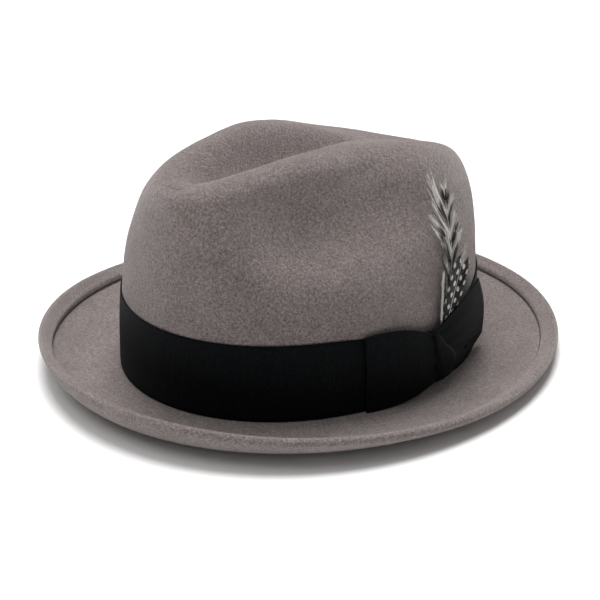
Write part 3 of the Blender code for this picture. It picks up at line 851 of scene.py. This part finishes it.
def make_knot():
    """The wrap over the bow's middle, wide at its lower third and narrow at both ends."""
    rows, along, side = [], [], []
    across = np.linspace(-1, 1, 17)
    for v in np.linspace(0, 1, 40):
        height = KNOT_LOW + KNOT_TALL * v
        left = 98.9 - 1.6 * v
        right = float(spline((0, 0.36, 0.72, 1), (104.6, 107.9, 102.6, 98.9), v))
        curl = KNOT_CURL * smooth((abs(2 * v - 1) - 0.80) / 0.20)
        bulge = KNOT_BULGE * (1 - across ** 2)
        rim = KNOT_RIM * smooth((np.abs(across) - 0.6) / 0.4)
        angle = left + (right - left) * (across + 1) / 2
        rows.append(wall(angle, np.full(angle.shape, height),
                         KNOT_OFFSET + bulge - curl - rim))
        along.append(np.full(angle.shape, height))
        side.append(across * KNOT_HALF_WRAP)
    knot = grid("bow_knot_wrap", rows, ribbon_look, RIBBON, uv=(np.array(side), np.array(along)))
    finish_ribbon(knot, "bow_knot")


# ---- feathers ----

BARB_PITCH = 0.00030
BARB_PIECES = 7
BARB_HALF_DEPTH = 0.00005
SHAFT_TAPER = 0.30           # a shaft's radius at its tip, as a share of that at its foot
CLUMP_LENGTH = 0.0026        # barbs cling together in clumps along the shaft
BAR_PITCH = 0.0112           # between the striped feather's chevrons
FIRST_BAR = 0.0415
BAR_REACH = 0.018            # barb length at which the pattern's cross number is 1

def rachis(stations, count=60):
    """Points, tangents, outward normals and sideways directions along a feather's shaft,
    through stations of (angle, height, offset)."""
    stations = np.array(stations)
    points = wall(stations[:, 0], stations[:, 1], stations[:, 2])
    places = np.linspace(0, 1, len(points))
    q = np.linspace(0, 1, count)
    line = np.stack([spline(places, points[:, i], q) for i in range(3)], -1)
    step = np.linalg.norm(np.diff(line, axis=0), axis=1)
    reach_along = np.concatenate([[0], np.cumsum(step)])
    tangent = unit(np.gradient(line, axis=0))
    _, normal, _ = wall_frame(stations[:, 0], stations[:, 1])
    out = unit(np.stack([np.interp(q, places, normal[:, i]) for i in range(3)], -1))
    side = unit(np.cross(tangent, out))
    return line, reach_along, tangent, unit(np.cross(side, tangent)), side


def feather(name, axis, mat, barbs, shaft, seed, start, stop, width=0.00042):
    """A shaft with rows of single barbs. barbs(s, sign, rng) gives a barb's length, angle,
    lift and curve from its distance s along the shaft, and its two pattern numbers."""
    line, along, tangent, out, side = axis
    rng = np.random.default_rng(seed)
    verts, faces, uvs = [], [], []
    thick = np.interp(along, [0, along[-1]], [shaft, shaft * SHAFT_TAPER])
    v, f = tube(line, thick, 6)
    verts.append(v)
    faces += f
    uvs.append(np.stack([np.full(len(v), 0.45), np.full(len(v), 0.9)], -1))
    base = len(v)
    for s in np.arange(start, stop, BARB_PITCH):
        for sign in (-1, 1):
            length, angle, lift, curve, pattern = barbs(s, sign, rng)
            here = [np.interp(s, along, line[:, i]) for i in range(3)]
            ahead, away, beside = (unit(np.array([np.interp(s, along, d[:, i]) for i in range(3)]))
                                   for d in (tangent, out, side))
            place = np.array(here)
            strip = [place]
            swing = np.linspace(angle, angle - curve, BARB_PIECES)
            for turn in swing:
                step = ahead * math.cos(turn) + beside * sign * math.sin(turn) + away * lift
                place = place + step * length / BARB_PIECES
                strip.append(place)
            strip = np.array(strip)
            t = np.linspace(0, 1, BARB_PIECES + 1)
            half = width / 2 * (1 - t ** 2.5 * 0.85)
            flat = unit(np.cross(np.gradient(strip, axis=0), away))
            top = strip + away * BARB_HALF_DEPTH
            ring = np.stack([top + flat * half[:, None], top - flat * half[:, None],
                             strip - away * BARB_HALF_DEPTH], 1).reshape(-1, 3)
            verts.append(ring)
            for r in range(BARB_PIECES):
                for k in range(3):
                    j = (k + 1) % 3
                    faces.append((base + 3 * r + k, base + 3 * r + j,
                                  base + 3 * r + 3 + j, base + 3 * r + 3 + k))
            faces.append((base + 2, base + 1, base))
            last = base + 3 * BARB_PIECES
            faces.append((last, last + 1, last + 2))
            uvs.append(np.repeat(pattern(t), 3, axis=0))
            base += len(ring)
    piece = mesh_object(name, np.concatenate(verts), faces, mat)
    mesh = piece.data
    values = np.concatenate(uvs)
    layer = mesh.uv_layers.new(name="barb")
    loops = np.empty(len(mesh.loops), np.int32)
    mesh.loops.foreach_get("vertex_index", loops)
    layer.data.foreach_set("uv", values[loops].ravel())
    mesh.shade_smooth()
    return piece


def make_striped():
    """The tall feather: a stiff chevroned vane with long loose tufts at its front."""
    axis = rachis([(104.7, 0.0250, 0.0031), (105.6, 0.0400, 0.0034), (110.4, 0.0670, 0.0048),
                   (112.9, 0.0885, 0.0074), (115.6, 0.0992, 0.0090)])
    clumps = np.random.default_rng(5).normal(0, 1, (2, 60, 3))

    def barbs(s, sign, rng):
        clump = clumps[(sign + 1) // 2, int(s / CLUMP_LENGTH)]
        if sign < 0:
            length = spline((0.010, 0.030, 0.046, 0.060, 0.068, 0.074, 0.084),
                            (0.007, 0.013, 0.018, 0.021, 0.023, 0.009, 0.004), s)
            angle = math.radians(spline((0.010, 0.040, 0.056, 0.068, 0.084), (28, 38, 38, 34, 16), s))
        else:
            length = spline((0.010, 0.035, 0.055, 0.070, 0.084), (0.006, 0.0120, 0.0125, 0.0080, 0.004), s)
            angle = math.radians(spline((0.010, 0.045, 0.084), (24, 34, 16), s))
        length = length * (1 + 0.16 * clump[0] + 0.10 * rng.normal())
        angle = angle + 0.13 * clump[1] + 0.04 * rng.normal()
        lift = 0.05 + 0.06 * clump[2] + 0.04 * rng.normal()
        curve = 0.10 + 0.14 * rng.random()
        bar = (s - FIRST_BAR) / BAR_PITCH + 0.02 * rng.normal()
        return max(length, 0.002), angle, lift, curve, lambda t: np.stack(
            [np.full(t.shape, bar), t * length / BAR_REACH], -1)

    piece = feather("feather_barred_plume", axis, barred_look, barbs, 0.00042, 11, 0.012,
                    axis[1][-1] - 0.0008, 0.00050)
    stand_for(piece, "feather_striped", "feather_trim")


def make_spotted():
    """The guinea-fowl-like feather: a short dark vane with white dots."""
    axis = rachis([(104.6, 0.0262, 0.0044), (106.2, 0.0380, 0.0047), (109.0, 0.0510, 0.0060),
                   (112.2, 0.0620, 0.0074)])

    def barbs(s, sign, rng):
        length = spline((0, 0.010, 0.022, 0.034, 0.042), (0.0050, 0.0105, 0.0140, 0.0120, 0.0050), s)
        angle = math.radians(42 - 12 * smooth(s / 0.042)) + 0.012 * rng.normal()
        length = length * (1 + 0.03 * rng.normal())

        def pattern(t):
            return np.stack([s + t * length * math.cos(angle), sign * t * length * math.sin(angle)], -1)
        return length, angle, 0.02 + 0.012 * rng.normal(), 0.10, pattern

    piece = feather("feather_dotted", axis, spotted_look, barbs, 0.00038, 23, 0.004,
                    axis[1][-1] - 0.0006, 0.00075)
    stand_for(piece, "feather_spotted", "feather_trim")


def make_pale():
    """A slim pale feather with short barbs at the trim's front."""
    axis = rachis([(103.6, 0.0262, 0.0042), (103.0, 0.0400, 0.0046), (103.6, 0.0520, 0.0054),
                   (104.6, 0.0625, 0.0062)])

    def barbs(s, sign, rng):
        length = spline((0, 0.015, 0.030, 0.040), (0.0020, 0.0036, 0.0036, 0.0030), s)
        return (length * (1 + 0.08 * rng.normal()), math.radians(17) + 0.04 * rng.normal(),
                0.03 * rng.normal(), 0.1, lambda t: np.stack([np.full(t.shape, s), t], -1))

    piece = feather("feather_slim", axis, pale_look, barbs, 0.00042, 31, 0.006,
                    axis[1][-1] - 0.0006)
    stand_for(piece, "feather_pale", "feather_trim")


BINDING_TURNS = 7
BINDING_LOW = 0.0190
BINDING_TALL = 0.0048
BINDING_ANGLE = 105.0
BINDING_HALF_WIDTH = 0.0026
BINDING_OFFSET = 0.0033
BINDING_HALF_DEPTH = 0.0007
BINDING_RADIUS = 0.00022


def make_binding():
    """Thread wound round the three quills, inside the bow."""
    turns = np.linspace(0, BINDING_TURNS * 2 * math.pi, BINDING_TURNS * 16)
    height = BINDING_LOW + BINDING_TALL * turns / turns[-1]
    angle = BINDING_ANGLE + np.degrees(BINDING_HALF_WIDTH * np.cos(turns) / HALF_WIDTH)
    coil = wall(angle, height, BINDING_OFFSET + BINDING_HALF_DEPTH * np.sin(turns))
    piece = threads("quill_thread", [coil], BINDING_RADIUS, black_thread_look, sides=6)
    stand_for(piece, "quill_binding", "feather_trim")


# ---- inside of the hat ----

SWEATBAND_LOW = 0.0010
SWEATBAND_HIGH = 0.050
SWEATBAND_STAND_OFF = 0.0013 # more room behind its upper part, for the lining's edge
SWEATBAND_WAVE = 0.00018
REED_RADIUS = 0.0007
REED_HEIGHT = 0.0011
SEAM_COUNT = 210
SEAM_HEIGHT = 0.0032
SEAM_RISE = 0.0004
SEAM_RADIUS = 0.00022
SEAM_BOW_HEIGHT = 0.0140
SEAM_BOW_HALF_LENGTH = 0.0110
SEAM_BOW_WAIST = 0.0016      # half its width in the middle
SEAM_BOW_SPREAD = 0.0030     # added to that at its ends
SEAM_BOW_THICKNESS = 0.0005
FILM = 0.0003
LABEL = 0.00025

def sweatband_offset(height):
    near = -(FELT / 2 + CLEARANCE + LEATHER / 2)
    return near - SWEATBAND_STAND_OFF * smooth((height - 0.006) / 0.028)


def make_sweatband():
    """Leather band, its piping along the lower edge and the seam that holds both."""
    angle = np.linspace(180.4, 539.6, 300)
    rows = []
    for height in np.linspace(SWEATBAND_LOW, SWEATBAND_HIGH, 22):
        soft = SWEATBAND_WAVE * np.sin(np.radians(angle) * 11 + height * 160)
        soft = soft * smooth((height - 0.030) / 0.02)
        rows.append(wall(angle, height, sweatband_offset(height) + soft))
    band = grid("sweatband_leather", rows, leather_look, LEATHER)
    stand_for(band, "sweatband")
    point, away = oval(np.arange(240) * 1.5)
    ring = point - away * (FELT / 2 + CLEARANCE + 0.0008) + PLACE
    ring[:, 2] = REED_HEIGHT
    reed = threads("sweatband_piping", [ring], REED_RADIUS, leather_look, closed=True, sides=10)
    stand_for(reed, "sweatband_reed")
    stitches = []
    face = sweatband_offset(SEAM_HEIGHT) - LEATHER / 2
    for i in range(SEAM_COUNT):
        around = (i + np.linspace(0.12, 0.88, 6)) * 360 / SEAM_COUNT
        rise = SEAM_RISE * np.sin(np.linspace(0, math.pi, 6))
        stitches.append(wall(around, SEAM_HEIGHT, face - rise))
    piece = threads("sweatband_stitches", stitches, SEAM_RADIUS, brown_thread_look, sides=5)
    stand_for(piece, "sweatband_stitching")


def make_sweatband_bow():
    """The small flat bow over the sweatband's rear seam."""
    base = float(sweatband_offset(0.019)) - LEATHER / 2 - CLEARANCE - 0.0005
    rows = []
    for side in np.linspace(-1, 1, 41):
        half = SEAM_BOW_WAIST + SEAM_BOW_SPREAD * abs(side) ** 0.7
        angle = 180 + math.degrees(SEAM_BOW_HALF_LENGTH * side / HALF_WIDTH)
        up = np.linspace(-1, 1, 9)
        dip = 0.0003 * math.cos(side * 9.0) * (1 - abs(side))
        rows.append(wall(np.full(9, angle), SEAM_BOW_HEIGHT + half * up,
                         base + dip + 0.0002 * np.cos(up * 5)))
    along = np.linspace(0, 2 * SEAM_BOW_HALF_LENGTH, 41)[:, None]
    bow = grid("sweatband_small_bow", rows, ribbon_look, SEAM_BOW_THICKNESS,
               uv=(along, np.linspace(0, 0.008, 9)))
    stand_for(bow, "sweatband_bow")


def make_lining():
    """Satin round the wall, a satin tip in the crown, and a clear film under the tip."""
    around = np.arange(240) * 1.5
    low = turn_at(around, LINING_START)
    side = [crown(around, low + (LINING_SEAM - low) * share) for share in np.linspace(0, 1, 34)]
    start = LINING_SEAM + LINING_SEAM_GAP
    tip = [crown(around, start + (1 - start) * (1 - (1 - x) ** CROWDING)) for x in np.linspace(0, 1, 22)]
    tip += [crown(around, 1.0, b) for b in np.linspace(0.04, 1, 22)]
    piece = inside_of(side, LINING_OFFSET, "lining_wall", satin_look, SATIN)
    stand_for(piece, "lining_side")
    piece = inside_of(tip, LINING_OFFSET, "lining_crown", satin_look, SATIN)
    stand_for(piece, "lining_tip")
    shield = [crown(around, 1.0, b) for b in np.linspace(0.45, 1, 14)]
    offset = LINING_OFFSET - SATIN / 2 - CLEARANCE - 0.00035
    piece = inside_of(shield, offset, "tip_film", film_look, FILM)
    stand_for(piece, "tip_shield")


def make_labels():
    """Two plain labels on the sweatband, without any text."""
    for name, node_name, angle, half, low, high in (
            ("label_small", "size_label", 198.0, 4.0, 0.0220, 0.0330),
            ("label_large", "care_label", 214.0, 6.5, 0.0130, 0.0420)):
        rows = []
        sideways = np.linspace(-1, 1, 21)
        for height in np.linspace(low, high, 15):
            base = float(sweatband_offset(height)) - LEATHER / 2 - CLEARANCE - 0.0003
            lift = 0.0002 * smooth((np.abs(sideways) - 0.8) / 0.2)
            rows.append(wall(angle + half * sideways, height, base - lift))
        piece = grid(name, rows, label_look, LABEL)
        stand_for(piece, node_name)


def make_tacks():
    """Small hand stitches that hold the band's top edge to the felt."""
    for node_name, angle in (("band_tack_front", 8.0), ("band_tack_right", 262.0),
                             ("band_tack_rear", 176.0)):
        heights = BAND_TOP + np.array([0.0016, 0.0011, 0.0004, -0.0004, -0.0012, -0.0018])
        offsets = np.array([0.0012, 0.00185, 0.00235, 0.0025, 0.0024, 0.0019])
        line = wall(np.full(6, angle), heights, offsets)
        piece = threads(node_name.replace("band_tack", "tack"), [line], 0.00016, black_thread_look)
        stand_for(piece, node_name)


make_felt()
make_welt_stitching()
make_band()
make_tacks()
make_front_leaf()
make_rear_leaf()
make_knot()
make_striped()
make_spotted()
make_pale()
make_binding()
make_sweatband()
make_sweatband_bow()
make_lining()
make_labels()

# ---- camera, light and floor ----

BACK = Vector((0.6922, -0.5809, 0.4283))
TARGET = Vector((0.0, PLACE[1], 0.0274))
CAMERA_DISTANCE = 1.2
LENS = 131.2

SENSOR = 36.0
ROOM_BRIGHTNESS = 0.24
FLOOR_HALF = 4

camera = bpy.data.objects.new("camera", bpy.data.cameras.new("camera"))
bpy.context.scene.collection.objects.link(camera)
camera.location = TARGET + BACK.normalized() * CAMERA_DISTANCE
camera.rotation_mode = "QUATERNION"
camera.rotation_quaternion = (-BACK).to_track_quat("-Z", "Y")
camera.data.lens = LENS
camera.data.sensor_width = SENSOR
bpy.context.scene.camera = camera


def soft_sun(name, toward, spread, strength):
    """Light from one part of the ceiling, as even as from a large softbox far away."""
    data = bpy.data.lights.new(name, "SUN")
    data.angle = math.radians(spread)
    data.energy = strength
    lamp = bpy.data.objects.new(name, data)
    lamp.rotation_mode = "QUATERNION"
    lamp.rotation_quaternion = Vector(toward).to_track_quat("Z", "Y")
    bpy.context.scene.collection.objects.link(lamp)


soft_sun("ceiling", (-0.40, 0.33, 1.0), 36, 3.75)
soft_sun("key", (-0.30, -0.30, 0.85), 50, 0.8)


def studio_world(brightness):
    world = bpy.data.worlds.new("studio")
    bpy.context.scene.world = world
    world.use_nodes = True
    shader = world.node_tree.nodes["Background"]
    shader.inputs["Color"].default_value = (brightness, brightness, brightness, 1)


studio_world(ROOM_BRIGHTNESS)
bpy.context.scene.view_settings.view_transform = "Standard"

floor_look, _, _ = start_material("floor_white", Base_Color=(0.93, 0.93, 0.925, 1), Roughness=0.8,
                                  Specular_IOR_Level=0.1)
floor = grid("floor", [[(x, y, 0) for x in (-FLOOR_HALF, FLOOR_HALF)]
                       for y in (-FLOOR_HALF, FLOOR_HALF)], floor_look)
